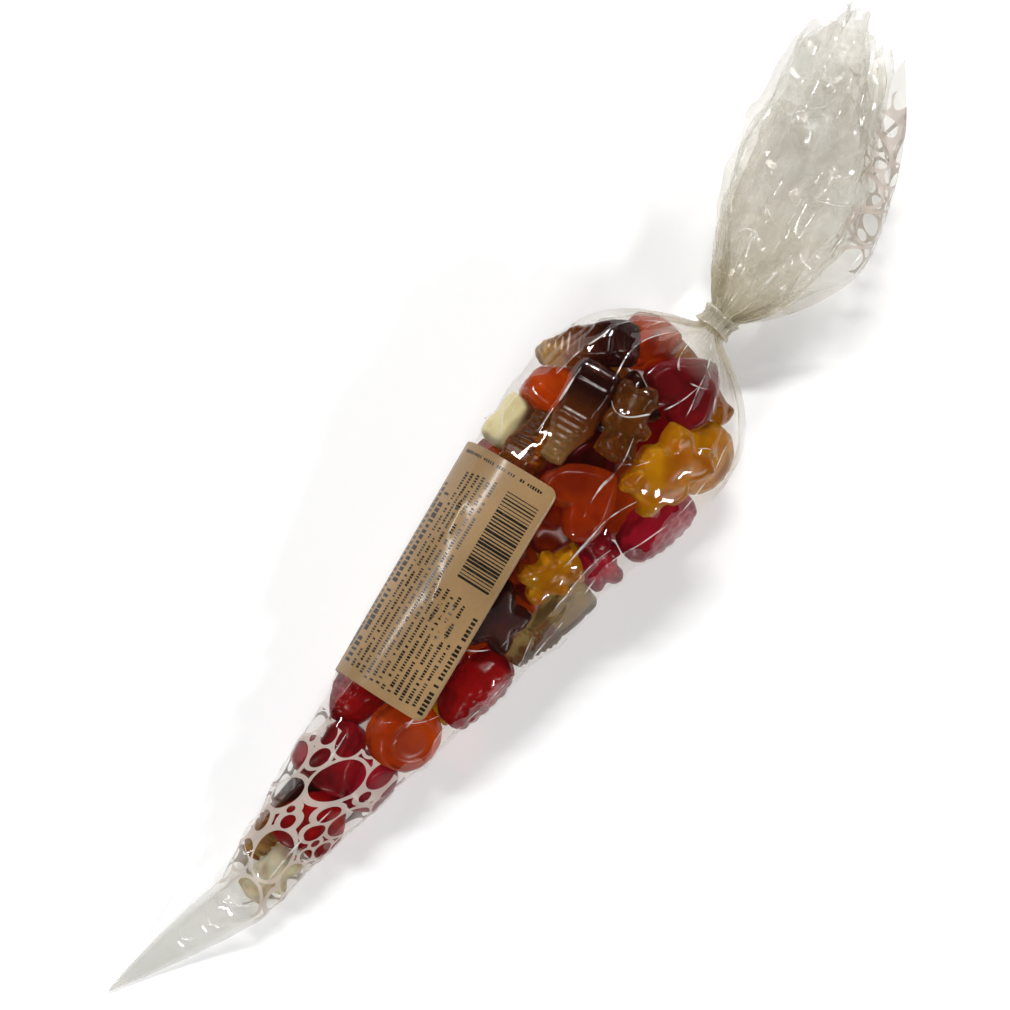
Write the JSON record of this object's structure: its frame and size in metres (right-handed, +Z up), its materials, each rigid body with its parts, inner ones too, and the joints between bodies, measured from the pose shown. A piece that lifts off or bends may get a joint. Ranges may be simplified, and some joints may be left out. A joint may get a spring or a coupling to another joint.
{
  "type": "candy cone",
  "caption": "Clear film cone of assorted jelly sweets, gathered and taped at the neck, with a paper label, lying on its side.",
  "frame": {"origin": "middle of the footprint, on the surface that the cone lies on", "axes": "+Y along the bag from its empty tip to its mouth, +Z up, +X to the right as seen from above with the mouth away"},
  "size_m": [0.0726, 0.3632, 0.0425],
  "materials": {
    "clear_film": "clear, glossy, crumpled film with a white printed web of rings at the lower end and at the mouth",
    "label_paper": "uncoated beige paper with dark printing",
    "clear_tape": "clear, glossy",
    "jelly_red": "translucent jelly, slightly glossy",
    "jelly_wine": "translucent jelly, slightly glossy",
    "jelly_pink": "translucent jelly, slightly glossy",
    "jelly_orange": "translucent jelly, slightly glossy",
    "jelly_yellow": "translucent jelly, slightly glossy",
    "jelly_amber": "translucent jelly, slightly glossy",
    "jelly_cola": "translucent jelly, slightly glossy",
    "jelly_cream": "soft, cloudy foam, matt",
    "jelly_clear": "translucent jelly, slightly glossy"
  },
  "bodies": {
    "root": {"bag_film": "clear_film", "bear_amber_1": "jelly_amber", "bear_cola_4": "jelly_cola", "bear_orange_2": "jelly_orange", "bear_yellow_3": "jelly_yellow", "berry_orange_5": "jelly_orange", "berry_pink_4": "jelly_pink", "berry_red_1": "jelly_red", "berry_red_2": "jelly_red", "berry_red_3": "jelly_red", "berry_red_6": "jelly_red", "bone_cream_1": "jelly_cream", "bottle_amber_3": "jelly_amber", "bottle_amber_7": "jelly_amber", "bottle_clear_2": "jelly_clear", "bottle_cola_1": "jelly_cola", "bottle_cola_4": "jelly_cola", "bottle_cola_5": "jelly_cola", "bottle_cola_6": "jelly_cola", "cub_clear_1": "jelly_clear", "cub_pink_3": "jelly_pink", "cub_yellow_2": "jelly_yellow", "frog_amber_4": "jelly_amber", "frog_orange_3": "jelly_orange", "frog_yellow_1": "jelly_yellow", "frog_yellow_2": "jelly_yellow", "heart_orange_3": "jelly_orange", "heart_orange_4": "jelly_orange", "heart_orange_6": "jelly_orange", "heart_pink_7": "jelly_pink", "heart_red_1": "jelly_red", "heart_wine_2": "jelly_wine", "heart_wine_5": "jelly_wine", "heart_yellow_8": "jelly_yellow", "label": "label_paper", "neck_tape": "clear_tape", "pebble_orange_3": "jelly_orange", "pebble_orange_4": "jelly_orange", "pebble_pink_1": "jelly_pink", "pebble_wine_2": "jelly_wine", "round_orange_1": "jelly_orange", "round_orange_5": "jelly_orange", "round_red_3": "jelly_red", "round_wine_4": "jelly_wine", "round_yellow_2": "jelly_yellow", "star_cola_2": "jelly_cola", "star_cola_3": "jelly_cola", "star_red_4": "jelly_red", "star_wine_1": "jelly_wine"}
  },
  "joints": []
}
